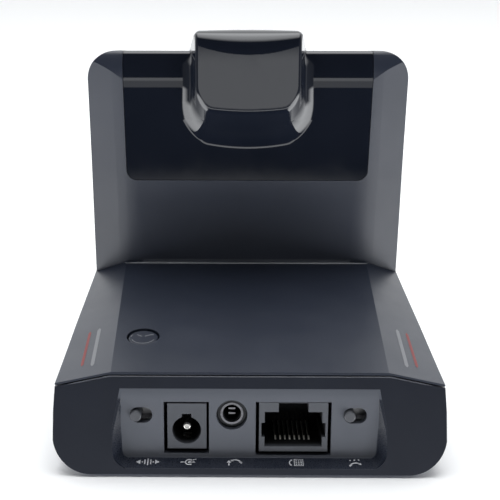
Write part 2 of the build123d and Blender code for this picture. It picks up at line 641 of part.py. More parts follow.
# configuration dial and its rotary switch
rs = box(DIAL[0] - 6.0, DIAL[0] + 6.0, DIAL[1] - 6.0, DIAL[1] + 6.0, 5.2, PCB_Z)
rs -= cyl_z(DIAL[0], DIAL[1], 1.55, 4, 9)
parts["dial_switch_body"] = one(rs)
dial = cyl_z(DIAL[0], DIAL[1], DIAL_R, 0.5, 2.9)
dial += cyl_z(DIAL[0], DIAL[1], 1.5, 2.8, 8.6)
dial += cyl_z(DIAL[0], DIAL[1], DIAL_R - 1.0, 2.8, 4.9)
dial = one(dial)
slotd = Pos(DIAL[0], DIAL[1], 0) * extrude(Plane.XY.offset(0.0) * RectangleRounded(7.2, 1.2, 0.5), amount=1.5, dir=(0, 0, 1))
dial -= slotd
dial -= Pos(DIAL[0] + 3.9, DIAL[1], 0) * extrude(Plane.XY * Polygon((-0.7, 0.9), (0.7, 0), (-0.7, -0.9), align=None), amount=0.9, dir=(0, 0, 1))
parts["config_dial"] = one(dial)


def vol_body(c):
    s = box(c[0] - 7.5, c[0] + 7.5, c[1] - 3.2, c[1] + 3.2, 4.4, PCB_Z)
    s -= box(c[0] - 5.4, c[0] + 5.4, c[1] - 1.4, c[1] + 1.4, 4, 7.6)
    return one(s)


def vol_knob(c):
    x = c[0] - SL_TRAVEL / 2
    k = box(x - 1.5, x + 1.5, c[1] - 1.25, c[1] + 1.25, 0.4, 3.6) + box(x - 1.6, x + 1.6, c[1] - 1.1, c[1] + 1.1, 3.5, 7.0)
    k = one(k)
    for i in (-0.8, 0, 0.8):
        k -= box(x + i - 0.12, x + i + 0.12, c[1] - 2, c[1] + 2, 0, 0.65)
    return one(k)


parts["listening_volume_body"] = vol_body(SL1)
parts["speaking_volume_body"] = vol_body(SL2)
parts["listening_volume_slider"] = vol_knob(SL1)
parts["speaking_volume_slider"] = vol_knob(SL2)

# radio module can, processor, transformer, capacitors on the board
zt = PCB_Z + PCB_T
parts["radio_shield"] = one(box(-14, 10, -46, -28, zt, zt + 2.6) - box(-13.7, 9.7, -45.7, -28.3, zt - 1, zt + 2.3))
parts["radio_module"] = one(box(-13.2, 9.2, -45.2, -28.8, zt, zt + 0.8) + box(-9, -2, -41, -34, zt + 0.7, zt + 1.7) + box(1, 6, -40, -36, zt + 0.7, zt + 1.5))
parts["processor"] = box(-27, -17, -39, -29, zt, zt + 1.1) + box(14, 20, -40, -34, zt, zt + 1.0)
parts["line_transformer"] = one(box(-17, -5, -32, -23, 6.6, PCB_Z) + box(-15, -7, -33, -22, 7.6, PCB_Z - 1))
caps = cyl_z(22, -28, 2.4, 8.2, PCB_Z) + cyl_z(22, -34.5, 2.4, 8.2, PCB_Z) + cyl_z(10, -29, 1.9, 9.2, PCB_Z)
parts["capacitors"] = caps

# upright electronics: board with LEDs, pin block, magnet, antenna board
up_pl = lambda z: front_y(z)
cb_d = 6.8
def slab(x0, x1, z0, z1, d0, d1):
    return px([(front_y(z0) + d0, z0), (front_y(z1) + d0, z1), (front_y(z1) + d1, z1), (front_y(z0) + d1, z0)], x0, x1)


charge_pcb = slab(-20, 20, 34.0, 49.2, cb_d, cb_d + 1.2)
parts["charge_pcb"] = one(charge_pcb)
leds = None
pipes = None
for i in (-1, 0, 1):
    x = i * 7.0
    l = slab(x - 1.1, x + 1.1, 43.4, 45.0, cb_d - 1.0, cb_d - 0.001)
    p = cyl_y(x, 44.2, 1.15, front_y(44.2) - 1, front_y(44.2) + cb_d - 1.35) & slab(-20, 20, 40, 48, 0.05, cb_d - 1.2)
    leds = l if leds is None else leds + l
    pipes = p if pipes is None else pipes + p
    front_panel -= cyl_y(x, 44.2, 1.25, front_y(44.2) - 3, front_y(44.2) + 6)
    front -= cyl_y(x, 44.2, 1.3, front_y(44.2) - 3, front_y(44.2) + 6)
parts["leds"] = leds
parts["light_pipes"] = pipes
front_panel = one(front_panel)
front = one(front)

pin_block = box(-7.4, 7.4, pin_y - 1.6, pin_y + 2.1, 49.6, 54.9)
for sx in (-PIN_X, PIN_X):
    pin_block -= cyl_z(sx, pin_y, 0.95, 53.0, 60)
    pin_block -= cyl_z(sx, pin_y, 1.25, 50.6, 53.3)
pin_block = one(pin_block)
parts["pin_block"] = pin_block


def cpin(sx):
    p = cyl_z(sx, pin_y, 0.87, 51.9, POCKET[1] + 1.2)
    p = rfillet(p, [e for e in p.edges() if e.center().Z > POCKET[1] + 1], 0.4)
    p += cyl_z(sx, pin_y, 1.15, 51.9, 53.2)
    return one(p)


parts["charge_pin_left"] = cpin(PIN_X)
parts["charge_pin_right"] = cpin(-PIN_X)

parts["dock_magnet"] = slab(-6, 6, 66, 80, 7.5, 10.0)
ant = slab(17.2, 27.0, 56.5, 78.0, 5.6, 6.6)
parts["antenna_board"] = ant
parts["ballast_plate"] = box(-30, 30, -70.0, -61.0, 2.3, 8.0)

# flat flex cable from the main board up to the charging board
fz = zt + 0.15
fy1, fz1 = -63.42, 36.0
fl = math.hypot(fy1 + 59.0, fz1 - fz)
ny, nzf = (fz1 - fz) / fl * 0.125, -(fy1 + 59.0) / fl * 0.125
flex = box(-15, -3, -59.1, -50.6, fz - 0.125, fz + 0.125) + \
    px([(-59.0 + ny, fz + nzf), (fy1 + ny, fz1 + nzf), (fy1 - ny, fz1 - nzf), (-59.0 - ny, fz - nzf)], -15, -3)
flex = one(flex)
parts["flex_cable"] = flex

# ----------------------------------------------------------------- feet, screws, label
feet = None
for (fx_, fy) in FEET:
    f = cyl_z(fx_, fy, 4.1, -FOOT_H, 0.58)
    f = rfillet(f, [e for e in f.edges() if e.center().Z < -FOOT_H + 0.05], 0.3)
    feet = f if feet is None else feet + f
parts["rubber_feet"] = feet


def screw(x, y, z_head, head_r, head_h, shank_r, length, up=True):
    h = cyl_z(x, y, head_r, z_head, z_head + head_h)
    s = cyl_z(x, y, shank_r, z_head + head_h - 0.1, z_head + head_h + length)
    r = h + s
    r -= box(x - head_r * 0.62, x + head_r * 0.62, y - 0.22, y + 0.22, z_head - 1, z_head + head_h * 0.55)
    r -= box(x - 0.22, x + 0.22, y - head_r * 0.62, y + head_r * 0.62, z_head - 1, z_head + head_h * 0.55)
    return one(r)


sc = None
for (sx, sy) in SCREWS:
    s = screw(sx, sy, 6.97, 2.3, 1.6, 1.05, 8.0)
    sc = s if sc is None else sc + s
parts["base_screws"] = sc
sc = None
for (sx, sy) in BOARD_SCREWS:
    h = cyl_z(sx, sy, 1.9, zt + 0.01, zt + 1.2) - box(sx - 1.2, sx + 1.2, sy - 0.2, sy + 0.2, zt + 0.7, zt + 2) - box(sx - 0.2, sx + 0.2, sy - 1.2, sy + 1.2, zt + 0.7, zt + 2)
    s = one(h + cyl_z(sx, sy, 0.88, PCB_Z - 6, zt + 0.1))
    sc = s if sc is None else sc + s
parts["board_screws"] = sc
parts["rating_label"] = box(-21.6, 21.6, -32.6, -19.4, 0.05, 0.24)

# cover screws hold the front cover to the top shell from inside
CS = [(-30.5, 30.0), (30.5, 30.0)]
csn = None
for (cx, cz) in CS:
    yb = front_y(cz)
    boss = (cyl_y(cx, cz, 2.4, yb + 1.5, yb + SPLIT + 0.9) - cyl_y(cx, cz, 0.95, yb + 2.4, yb + 12))
    front += boss & body_solid(WALL - 0.4)
    lug = cyl_y(cx, cz, 2.8, yb + SPLIT + 1.0, yb + SPLIT + 2.6) + box(cx - 2.0 if cx < 0 else cx - 1.0, cx + 1.0 if cx < 0 else cx + 2.0, yb + SPLIT + 1.0, yb + SPLIT + 2.6, cz, cz + 9)
    s = one(cyl_y(cx, cz, 1.9, yb + SPLIT + 2.62, yb + SPLIT + 3.8) + cyl_y(cx, cz, 0.93, yb + 3.2, yb + SPLIT + 2.7))
    csn = s if csn is None else csn + s
    top += (lug - cyl_y(cx, cz, 1.15, yb, yb + 20)) & body_solid(WALL - 0.4)
front = one(front)
top = one(top)
parts["cover_screws"] = csn

parts["top_shell"] = top
parts["base_shell"] = base
parts["front_cover"] = front
parts["rear_bezel"] = rear_bezel
parts["front_panel"] = front_panel
parts["headset_cradle"] = cradle
parts["connector_panel"] = panel

os.makedirs("parts", exist_ok=True)
for f in os.listdir("parts"):
    if f.endswith(".step"):
        os.remove(os.path.join("parts", f))
for name, s in parts.items():
    sol = s.solids()
    shape = place(Compound(children=[Solid(q.wrapped) for q in sol]) if len(sol) > 1 else sol[0])
    export_step(shape, "parts/%s.step" % name)
print(len(parts), "nodes")
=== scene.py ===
import math

import bpy
import bmesh
import numpy as np
from mathutils import Vector, Matrix, Quaternion


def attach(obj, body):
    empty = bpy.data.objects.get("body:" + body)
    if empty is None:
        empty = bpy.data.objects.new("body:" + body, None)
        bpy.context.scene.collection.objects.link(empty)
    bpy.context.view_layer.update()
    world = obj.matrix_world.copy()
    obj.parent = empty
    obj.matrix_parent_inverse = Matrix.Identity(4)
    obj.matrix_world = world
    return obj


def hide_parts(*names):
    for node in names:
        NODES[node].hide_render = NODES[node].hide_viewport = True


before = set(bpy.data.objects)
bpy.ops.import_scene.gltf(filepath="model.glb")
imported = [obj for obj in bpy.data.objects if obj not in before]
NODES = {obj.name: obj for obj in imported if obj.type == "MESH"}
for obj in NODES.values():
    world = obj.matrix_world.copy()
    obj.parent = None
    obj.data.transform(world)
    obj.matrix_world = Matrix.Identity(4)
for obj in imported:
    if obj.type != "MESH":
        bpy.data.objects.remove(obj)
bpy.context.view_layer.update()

MM = 0.001
YS = 0.03886        # modelling y = 0 (rear bottom edge) in the row frame
ZS = 0.0006         # underside of the shell in the row frame

scene = bpy.context.scene
scene.view_settings.view_transform = "Standard"
scene.view_settings.look = "None"
scene.view_settings.exposure = 0.0
scene.view_settings.gamma = 1.0


# ------------------------------------------------------------------ camera
def make_camera():
    pitch, yaw, roll = math.radians(12.335), math.radians(0.432), math.radians(0.081)
    fwd = Vector((math.sin(yaw) * math.cos(pitch), -math.cos(yaw) * math.cos(pitch), -math.sin(pitch)))
    right = fwd.cross(Vector((0, 0, 1))).normalized()
    up = right.cross(fwd).normalized()
    q = Quaternion(fwd, -roll)
    right.rotate(q)
    up.rotate(q)
    m = Matrix((
        (right.x, up.x, -fwd.x, 0.003917),
        (right.y, up.y, -fwd.y, 0.21778),
        (right.z, up.z, -fwd.z, 0.087356),
        (0, 0, 0, 1)))
    cam = bpy.data.cameras.new("camera")
    cam.sensor_width = 36.0
    cam.lens = 67.257
    cam.shift_x = 0.05136
    cam.shift_y = 0.0
    cam.clip_start = 0.005
    cam.clip_end = 20.0
    cam.dof.use_dof = False
    o = bpy.data.objects.new("camera", cam)
    scene.collection.objects.link(o)
    o.matrix_world = m
    scene.camera = o
    return o


make_camera()


# ------------------------------------------------------------------ node helpers
def new_mat(name):
    m = bpy.data.materials.new(name)
    m.use_nodes = True
    nt = m.node_tree
    for n in list(nt.nodes):
        nt.nodes.remove(n)
    out = nt.nodes.new("ShaderNodeOutputMaterial")
    b = nt.nodes.new("ShaderNodeBsdfPrincipled")
    nt.links.new(b.outputs["BSDF"], out.inputs["Surface"])
    return m, nt, b


def obj_coords(nt):
    return nt.nodes.new("ShaderNodeTexCoord").outputs["Object"]


def noise(nt, vec, scale, detail=3.0, rough=0.55):
    n = nt.nodes.new("ShaderNodeTexNoise")
    n.inputs["Scale"].default_value = scale
    n.inputs["Detail"].default_value = detail
    n.inputs["Roughness"].default_value = rough
    nt.links.new(vec, n.inputs["Vector"])
    return n.outputs["Fac"]


def ramp(nt, fac, stops):
    r = nt.nodes.new("ShaderNodeValToRGB")
    el = r.color_ramp.elements
    while len(el) < len(stops):
        el.new(0.5)
    for e, (p, c) in zip(el, stops):
        e.position = p
        e.color = (c[0], c[1], c[2], 1) if len(c) == 3 else c
    nt.links.new(fac, r.inputs["Fac"])
    return r.outputs["Color"]


def maprange(nt, fac, a, b, c, d):
    r = nt.nodes.new("ShaderNodeMapRange")
    r.inputs["From Min"].default_value = a
    r.inputs["From Max"].default_value = b
    r.inputs["To Min"].default_value = c
    r.inputs["To Max"].default_value = d
    nt.links.new(fac, r.inputs["Value"])
    return r.outputs["Result"]


def bump(nt, height, strength, dist, normal=None):
    n = nt.nodes.new("ShaderNodeBump")
    n.inputs["Strength"].default_value = strength
    n.inputs["Distance"].default_value = dist
    nt.links.new(height, n.inputs["Height"])
    if normal is not None:
        nt.links.new(normal, n.inputs["Normal"])
    return n.outputs["Normal"]


def plastic(name, dark, light, rough=(0.42, 0.55), grain=9000.0, grain_depth=0.00002, grain_strength=0.25,
            spec=0.5, coat=0.0, coat_rough=0.05, ior=1.5):
    "moulded plastic: fine spark-eroded texture, faint colour and gloss variation"
    m, nt, b = new_mat(name)
    v = obj_coords(nt)
    cloud = noise(nt, v, 60.0, 4.0)
    nt.links.new(ramp(nt, cloud, [(0.3, dark), (0.7, light)]), b.inputs["Base Color"])
    fine = noise(nt, v, grain, 2.0, 0.6)
    smear = noise(nt, v, 140.0, 5.0, 0.65)
    mix = nt.nodes.new("ShaderNodeMath")
    mix.operation = "MULTIPLY_ADD"
    nt.links.new(fine, mix.inputs[0])
    mix.inputs[1].default_value = 0.35
    nt.links.new(smear, mix.inputs[2])
    nt.links.new(maprange(nt, mix.outputs[0], 0.35, 1.0, rough[0], rough[1]), b.inputs["Roughness"])
    nt.links.new(bump(nt, fine, grain_strength, grain_depth), b.inputs["Normal"])
    b.inputs["Specular IOR Level"].default_value = spec
    b.inputs["IOR"].default_value = ior
    if coat:
        b.inputs["Coat Weight"].default_value = coat
        b.inputs["Coat Roughness"].default_value = coat_rough
    return m


def metal(name, dark, light, rough=(0.18, 0.35), brush=(400.0, 400.0, 4000.0), depth=0.000004):
    m, nt, b = new_mat(name)
    v = obj_coords(nt)
    mp = nt.nodes.new("ShaderNodeMapping")
    mp.inputs["Scale"].default_value = brush
    nt.links.new(v, mp.inputs["Vector"])
    n1 = noise(nt, mp.outputs["Vector"], 1.0, 4.0)
    nt.links.new(ramp(nt, n1, [(0.3, dark), (0.7, light)]), b.inputs["Base Color"])
    nt.links.new(maprange(nt, n1, 0.3, 0.7, rough[0], rough[1]), b.inputs["Roughness"])
    nt.links.new(bump(nt, n1, 0.4, depth), b.inputs["Normal"])
    b.inputs["Metallic"].default_value = 1.0
    return m


MAT = {}
MAT["shell"] = plastic("shell_plastic", (0.0155, 0.0205, 0.0350), (0.0190, 0.0245, 0.0410), rough=(0.36, 0.46), grain=5200.0, grain_depth=0.00004, grain_strength=0.42)
MAT["gloss"] = plastic("piano_black", (0.006, 0.008, 0.014), (0.0075, 0.0095, 0.016), rough=(0.03, 0.07), grain=1500.0, grain_depth=0.000002, grain_strength=0.05, spec=0.45)
MAT["panel"] = plastic("panel_plastic", (0.060, 0.067, 0.084), (0.068, 0.075, 0.094), rough=(0.45, 0.58), grain=5000.0, grain_depth=0.00001, grain_strength=0.15)
MAT["connector"] = plastic("connector_nylon", (0.060, 0.064, 0.074), (0.072, 0.075, 0.084), rough=(0.42, 0.58), grain=4000.0, grain_depth=0.00001, grain_strength=0.15)
MAT["knob"] = plastic("knob_acetal", (0.060, 0.064, 0.074), (0.072, 0.076, 0.086), rough=(0.38, 0.5), grain=4000.0, grain_depth=0.000008, grain_strength=0.12)
MAT["button"] = plastic("button_plastic", (0.0150, 0.0195, 0.0335), (0.0185, 0.0240, 0.0400), rough=(0.34, 0.44), grain=5200.0, grain_depth=0.00003, grain_strength=0.35)
MAT["dial"] = MAT["knob"]
MAT["rubber"] = plastic("foot_rubber", (0.018, 0.018, 0.019), (0.03, 0.03, 0.031), rough=(0.65, 0.85), grain=2500.0, grain_depth=0.00003, grain_strength=0.4)
MAT["chip"] = plastic("chip_epoxy", (0.018, 0.018, 0.018), (0.03, 0.03, 0.03), rough=(0.5, 0.7))
MAT["label"] = plastic("label_film", (0.42, 0.43, 0.45), (0.5, 0.51, 0.53), rough=(0.35, 0.5), grain_strength=0.1)
MAT["flex"] = plastic("polyimide_film", (0.32, 0.13, 0.02), (0.42, 0.19, 0.04), rough=(0.25, 0.4))
MAT["gold_contact"] = metal("gold_plate", (0.75, 0.56, 0.25), (0.9, 0.70, 0.35))
MAT["contact"] = metal("nickel_plate", (0.60, 0.59, 0.56), (0.78, 0.77, 0.74))
MAT["ring_metal"] = metal("blackened_ring", (0.16, 0.16, 0.17), (0.24, 0.24, 0.26), rough=(0.3, 0.5))
MAT["steel"] = metal("tin_plate", (0.45, 0.45, 0.46), (0.6, 0.6, 0.62), rough=(0.3, 0.5))
MAT["screw_steel"] = metal("zinc_screw", (0.38, 0.38, 0.4), (0.52, 0.52, 0.55), rough=(0.3, 0.45))
MAT["capacitor"] = metal("aluminium_can", (0.5, 0.5, 0.52), (0.62, 0.62, 0.64), rough=(0.25, 0.4))
MAT["magnet"] = metal("magnet_nickel", (0.55, 0.54, 0.52), (0.66, 0.65, 0.63), rough=(0.15, 0.3))


def board_material():
    m, nt, b = new_mat("solder_mask")
    v = obj_coords(nt)
    w = nt.nodes.new("ShaderNodeTexBrick")
    w.inputs["Scale"].default_value = 420.0
    w.inputs["Color1"].default_value = (0.012, 0.085, 0.035, 1)
    w.inputs["Color2"].default_value = (0.016, 0.11, 0.045, 1)
    w.inputs["Mortar"].default_value = (0.008, 0.055, 0.022, 1)
    w.inputs["Mortar Size"].default_value = 0.03
    nt.links.new(v, w.inputs["Vector"])
    nt.links.new(w.outputs["Color"], b.inputs["Base Color"])
    nt.links.new(maprange(nt, noise(nt, v, 300.0), 0.3, 0.7, 0.25, 0.4), b.inputs["Roughness"])
    nt.links.new(bump(nt, w.outputs["Fac"], 0.2, 0.00002), b.inputs["Normal"])
    return m


MAT["circuit_board"] = board_material()


def clear_material(name, col, rough):
    m, nt, b = new_mat(name)
    v = obj_coords(nt)
    nt.links.new(ramp(nt, noise(nt, v, 500.0), [(0.3, col), (0.7, tuple(min(1, c * 1.1) for c in col))]), b.inputs["Base Color"])
    nt.links.new(maprange(nt, noise(nt, v, 1500.0), 0.3, 0.7, rough, rough + 0.08), b.inputs["Roughness"])
    b.inputs["Transmission Weight"].default_value = 0.6
    b.inputs["IOR"].default_value = 1.49
    return m


MAT["clear_plastic"] = clear_material("smoked_acrylic", (0.30, 0.32, 0.34), 0.1)
MAT["led"] = clear_material("led_epoxy", (0.75, 0.78, 0.8), 0.15)


def panel_material():
    """light grey face plate; the walls and sill in front of it get painted shade, as dark as the shell, and are as
    smooth as the shell
    """
    m, nt, b = new_mat("panel_with_painted_shade")
    v = obj_coords(nt)
    sep = nt.nodes.new("ShaderNodeSeparateXYZ")
    nt.links.new(v, sep.inputs[0])
    k = maprange(nt, sep.outputs[1], YS - 0.00362, YS - 0.00352, 0.0, 1.0)
    cloud = noise(nt, v, 60.0, 4.0)
    face = ramp(nt, cloud, [(0.3, (0.078, 0.086, 0.106)), (0.7, (0.087, 0.095, 0.117))])
    # painted shade: the walls and sill of the recess are coloured dark by their position in front of the face plate
    wall_painted_shade = ramp(nt, cloud, [(0.3, (0.0125, 0.0160, 0.0270)), (0.7, (0.0150, 0.0190, 0.0310))])
    mix = nt.nodes.new("ShaderNodeMix")
    mix.data_type = "RGBA"
    nt.links.new(k, mix.inputs[0])
    nt.links.new(face, mix.inputs[6])
    nt.links.new(wall_painted_shade, mix.inputs[7])
    nt.links.new(mix.outputs[2], b.inputs["Base Color"])
    fine = noise(nt, v, 5000.0, 2.0, 0.6)
    base = maprange(nt, fine, 0.3, 0.7, 0.46, 0.56)
    less = nt.nodes.new("ShaderNodeMath")
    less.operation = "MULTIPLY_ADD"
    nt.links.new(k, less.inputs[0])
    less.inputs[1].default_value = -0.22
    nt.links.new(base, less.inputs[2])
    nt.links.new(less.outputs[0], b.inputs["Roughness"])
    nt.links.new(bump(nt, fine, 0.15, 0.00001), b.inputs["Normal"])
    return m


def opening_shade_material(name, y_face, face, spread):
    """connector moulding: grey front, painted shade darkens its openings to near black"""
    m, nt, b = new_mat(name)
    v = obj_coords(nt)
    sep = nt.nodes.new("ShaderNodeSeparateXYZ")
    nt.links.new(v, sep.inputs[0])
    k = maprange(nt, sep.outputs[1], y_face - 0.0004, y_face - spread, 0.0, 1.0)
    n1 = noise(nt, v, 400.0, 3.0)
    front = ramp(nt, n1, [(0.3, tuple(0.93 * c for c in face)), (0.7, face)])
    # painted shade: near black colour deeper in than the front face of the moulding
    painted_deep_shade = ramp(nt, n1, [(0.3, (0.0020, 0.0024, 0.0035)), (0.7, (0.0035, 0.0040, 0.0055))])
    mix = nt.nodes.new("ShaderNodeMix")
    mix.data_type = "RGBA"
    nt.links.new(k, mix.inputs[0])
    nt.links.new(front, mix.inputs[6])
    nt.links.new(painted_deep_shade, mix.inputs[7])
    nt.links.new(mix.outputs[2], b.inputs["Base Color"])
    fine = noise(nt, v, 4000.0, 2.0, 0.6)
    base = maprange(nt, fine, 0.3, 0.7, 0.44, 0.56)
    more = nt.nodes.new("ShaderNodeMath")
    more.operation = "MULTIPLY_ADD"
    nt.links.new(k, more.inputs[0])
    more.inputs[1].default_value = 0.35
    nt.links.new(base, more.inputs[2])
    nt.links.new(more.outputs[0], b.inputs["Roughness"])
    nt.links.new(bump(nt, fine, 0.15, 0.00001), b.inputs["Normal"])
    return m


def wire_material():
    """spring wires of the modular jack: painted shade darkens them along their length, a painted highlight makes the
    lowest tip bright
    """
    m, nt, b = new_mat("jack_wire")
    v = obj_coords(nt)
    sep = nt.nodes.new("ShaderNodeSeparateXYZ")
    nt.links.new(v, sep.inputs[0])
    # painted highlight at the lowest tip, painted shade along the rest of the wire
    glint_mask = maprange(nt, sep.outputs[2], WIRE_LOW + 0.00056, WIRE_LOW + 0.00046, 0.0, 1.0)
    n1 = noise(nt, v, 3000.0, 3.0)
    wire_painted_shade = ramp(nt, n1, [(0.3, (0.012, 0.011, 0.010)), (0.7, (0.022, 0.019, 0.014))])
    tip_painted_glint = ramp(nt, n1, [(0.3, (0.92, 0.88, 0.80)), (0.7, (1.0, 0.96, 0.90))])
    mix = nt.nodes.new("ShaderNodeMix")
    mix.data_type = "RGBA"
    nt.links.new(glint_mask, mix.inputs[0])
    nt.links.new(wire_painted_shade, mix.inputs[6])
    nt.links.new(tip_painted_glint, mix.inputs[7])
    nt.links.new(mix.outputs[2], b.inputs["Base Color"])
    nt.links.new(maprange(nt, n1, 0.3, 0.7, 0.5, 0.65), b.inputs["Roughness"])
    nt.links.new(bump(nt, n1, 0.3, 0.000004), b.inputs["Normal"])
    return m


for name, o in NODES.items():
    slot = o.data.materials[0].name.split(".")[0] if o.data.materials and o.data.materials[0] else "shell"
    for i in range(len(o.material_slots)):
        o.material_slots[i].material = MAT[slot]
MAT["panel_with_painted_shade"] = panel_material()
for name, o in NODES.items():
    low = min((o.matrix_world @ v.co).z for v in o.data.vertices)
    if name == "connector_panel":
        o.material_slots[0].material = MAT["panel_with_painted_shade"]
    y_face = max((o.matrix_world @ v.co).y for v in o.data.vertices)
    if name == "base_shell":
        # darker copy of the shell plastic for the base shell: painted shade on its rear face
        MAT["shell_low"] = plastic("shell_plastic_painted_shade", (0.0070, 0.0098, 0.0185), (0.0090, 0.0122, 0.0225), rough=(0.34, 0.44), grain=5200.0, grain_depth=0.00004, grain_strength=0.42, spec=0.4)
        o.material_slots[0].material = MAT["shell_low"]
    if name == "modular_jack_body":
        MAT["jack_deep"] = opening_shade_material("modular_jack_nylon_painted_shade", y_face, (0.072, 0.078, 0.092), 0.0018)
        o.material_slots[0].material = MAT["jack_deep"]
    if name == "dc_jack_body":
        MAT["dc_deep"] = opening_shade_material("power_jack_nylon_painted_shade", y_face, (0.066, 0.072, 0.086), 0.0018)
        o.material_slots[0].material = MAT["dc_deep"]
    if name == "aux_jack_body":
        MAT["aux_deep"] = opening_shade_material("round_jack_nylon_painted_shade", y_face, (0.010, 0.012, 0.017), 0.0018)
        o.material_slots[0].material = MAT["aux_deep"]
    if name == "modular_jack_contacts":
        WIRE_LOW = low
        MAT["jack_wire"] = wire_material()
        o.material_slots[0].material = MAT["jack_wire"]
    if name == "aux_jack_contacts":
        # nickel contacts inside the round jack, darkened with painted shade
        MAT["nickel_painted_shade"] = metal("nickel_painted_shade", (0.20, 0.20, 0.21), (0.30, 0.30, 0.31), rough=(0.35, 0.5))
        o.material_slots[0].material = MAT["nickel_painted_shade"]



# ------------------------------------------------------------------ mesh helpers
def add_mesh(name, verts, faces, mat, body="base", smooth=True, replaces=None, mats=None):
    me = bpy.data.meshes.new(name)
    me.from_pydata([tuple(v) for v in verts], [], faces)
    me.update()
    for p in me.polygons:
        p.use_smooth = smooth
    me.materials.append(mat)
    o = bpy.data.objects.new(name, me)
    scene.collection.objects.link(o)
    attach(o, body)
    if replaces:
        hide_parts(*replaces)
    return o


def row(x, y, z):
    "modelling millimetres to the row frame"
    return (x * MM, y * MM + YS, z * MM + ZS)


# ------------------------------------------------------------------ glossy bezel with the bulge of the cradle
LEAN = math.atan(0.186)
BR, BCY, BCZ = 13.5, -63.81, 78.97
A0, A1 = -LEAN, math.radians(25)
BB = (BCY + BR * math.cos(A0), BCZ + BR * math.sin(A0))
CC = (BCY + BR * math.cos(A1), BCZ + BR * math.sin(A1))
TOPZ = 85.6
RR = (TOPZ - CC[1]) / (1 - math.sin(A1))
OC = (CC[0] - RR * math.cos(A1), CC[1] - RR * math.sin(A1))


def d_bezel(y, z):
    ang = np.arctan2(z - BCZ, y - BCY)
    plane = (y - BB[0]) * math.cos(LEAN) - (z - BB[1]) * math.sin(LEAN)
    arc = np.hypot(y - BCY, z - BCZ) - BR
    top = np.where(y < OC[0], z - TOPZ, np.hypot(y - OC[0], z - OC[1]) - RR)
    return np.where(ang < A0, plane, np.where(ang <= A1, arc, top))


def r_and(a, b, r):
    return np.minimum(-r, np.maximum(a, b)) + np.hypot(np.maximum(r + a, 0), np.maximum(r + b, 0))


def r_or(a, b, r):
    return np.maximum(r, np.minimum(a, b)) - np.hypot(np.maximum(r - a, 0), np.maximum(r - b, 0))


def d_pod(x, y, z):
    ax = np.abs(x)
    rear = y + 45.05 + 0.0011 * x * x
    slope = (y + 45.0) * 0.665 - (z - 71.1) * 0.747 + 0.006 * x * x
    side = ax - (12.45 + 0.185 * np.clip(-45.0 - y, 0, 12))
    taper = (ax - (14.3 - 0.40 * (z - 85.75))) * 0.93
    side = np.maximum(side, taper)
    top = z - (90.57 - 0.0022 * x * x)
    rt = 5.9 - 2.5 * np.clip(ax / 12.0, 0, 1) ** 2
    rear_top = r_and(rear, top, rt)
    low = r_and(side, slope, 4.3)
    return r_and(rear_top, low, 0.8)


def d_all(x, y, z):
    rf = 1.5 + 1.5 * np.clip((z - 64.0) / 5.0, 0, 1)
    k = np.clip((z - 82.0) / 3.0, 0, 1)
    rf = rf * (1 - 0.85 * k * k * (3 - 2 * k))
    return r_or(d_bezel(y, z), d_pod(x, y, z), rf)


